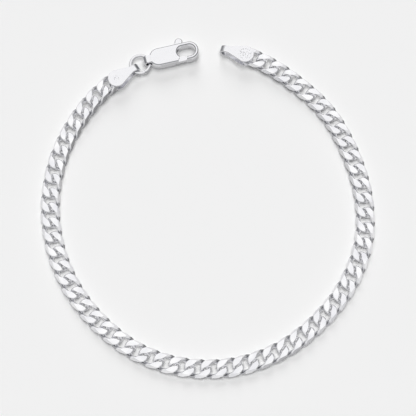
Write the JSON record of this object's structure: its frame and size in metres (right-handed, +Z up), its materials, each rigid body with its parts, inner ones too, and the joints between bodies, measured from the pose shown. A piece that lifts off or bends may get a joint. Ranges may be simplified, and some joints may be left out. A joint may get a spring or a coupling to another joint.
{
  "type": "link bracelet",
  "caption": "Flat curb link bracelet lying open in a loop, with folded end caps, a jump ring and a lobster clasp whose gate turns on a pin.",
  "frame": {"origin": "on the table, under the middle of the whole bracelet as it lies in its loop", "axes": "+Z up from the table; +Y towards the clasp and the open gap of the loop; +X from the clasp's cap towards the far cap's side"},
  "size_m": [0.0664, 0.0706, 0.0024],
  "materials": {
    "silver": "polished sterling silver",
    "cut_silver": "bright cut and polished sterling silver"
  },
  "bodies": {
    "bracelet": {"chain": "cut_silver", "near_cap": "silver", "far_cap": "silver", "jump_ring": "silver", "clasp_body": "silver"},
    "lever": {"clasp_lever": "cut_silver"}
  },
  "joints": [
    {"name": "gate_hinge", "type": "hinge", "parent": "bracelet", "child": "lever", "pos_m": [-0.00707, 0.03078, 0.00115], "axis": [0, 0, 1], "range_deg": [0, 25], "stiffness_Nm_per_rad": 0.001, "springref_deg": -11.46}
  ]
}
